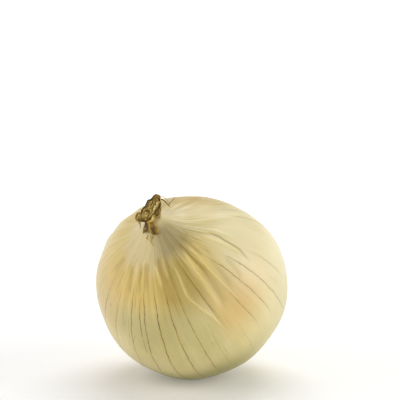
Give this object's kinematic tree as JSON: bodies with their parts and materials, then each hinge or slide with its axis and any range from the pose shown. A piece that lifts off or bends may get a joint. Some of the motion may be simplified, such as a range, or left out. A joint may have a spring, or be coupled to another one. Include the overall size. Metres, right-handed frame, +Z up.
{
  "type": "onion",
  "caption": "Whole sweet onion with thin cream skin, pleated and veined, a withered brown neck and a dried root tuft, lying tilted on a small flat spot.",
  "frame": {"origin": "middle of the small flat spot that the onion rests on", "axes": "+Z up from the surface it rests on; the neck leans 53.7 degrees from +Z, towards -Y and a little -X"},
  "size_m": [0.0894, 0.0948, 0.0856],
  "materials": {
    "skin": "thin translucent cream-yellow skin with a soft sheen, brown lengthwise veins and a green tinge below",
    "dried_sheath": "withered, crumpled, matt brown",
    "dried_root": "dry, fibrous, matt tan"
  },
  "bodies": {
    "root": {"bulb": "skin", "dry_neck": "dried_sheath", "root_tuft": "dried_root"}
  },
  "joints": []
}
